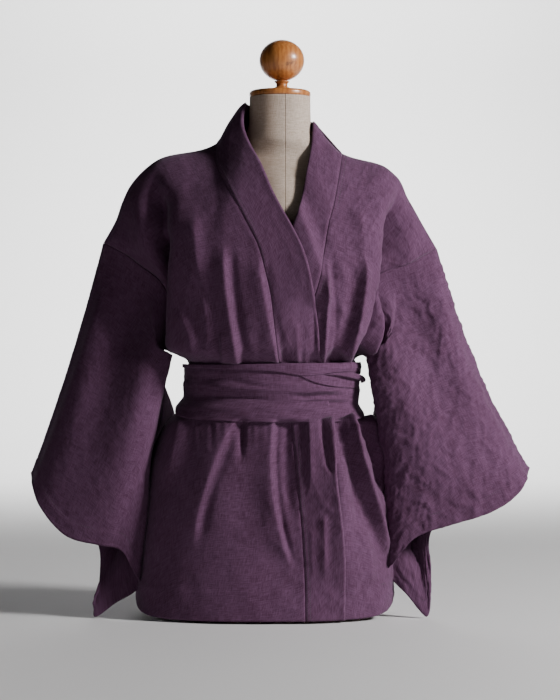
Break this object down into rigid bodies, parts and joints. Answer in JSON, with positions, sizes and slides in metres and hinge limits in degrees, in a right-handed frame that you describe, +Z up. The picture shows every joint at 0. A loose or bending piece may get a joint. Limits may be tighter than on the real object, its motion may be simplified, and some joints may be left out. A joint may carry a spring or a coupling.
{
  "type": "short kimono with sash on a dress form",
  "caption": "Short wrap-front linen kimono with wide hanging sleeves and a wound sash, worn by a limbless linen dress form with a wooden neck cap and ball finial.",
  "frame": {"origin": "centre of the underside of the form's round base, where the part stands", "axes": "+Z up along the form, the front of the garment faces -Y, +X is at the viewer's right (the wearer's left)"},
  "size_m": [0.794, 0.2762, 0.9182],
  "materials": {
    "plum_linen": "washed plum linen, matt, visible plain weave",
    "form_linen": "aged natural linen, matt",
    "turned_wood": "old varnished turned wood, worn"
  },
  "bodies": {
    "root": {"front_right": "plum_linen", "front_left": "plum_linen", "back": "plum_linen", "band_right": "plum_linen", "band_left": "plum_linen", "band_neck": "plum_linen", "sleeve_right": "plum_linen", "sleeve_left": "plum_linen", "belt_main": "plum_linen", "belt_upper": "plum_linen", "belt_twist": "plum_linen", "belt_knot": "plum_linen", "belt_tail_right": "plum_linen", "belt_tail_left": "plum_linen", "form_body": "form_linen", "form_base": "turned_wood", "form_post": "turned_wood", "form_cap": "turned_wood", "form_spindle": "turned_wood", "form_ball": "turned_wood"}
  },
  "joints": []
}
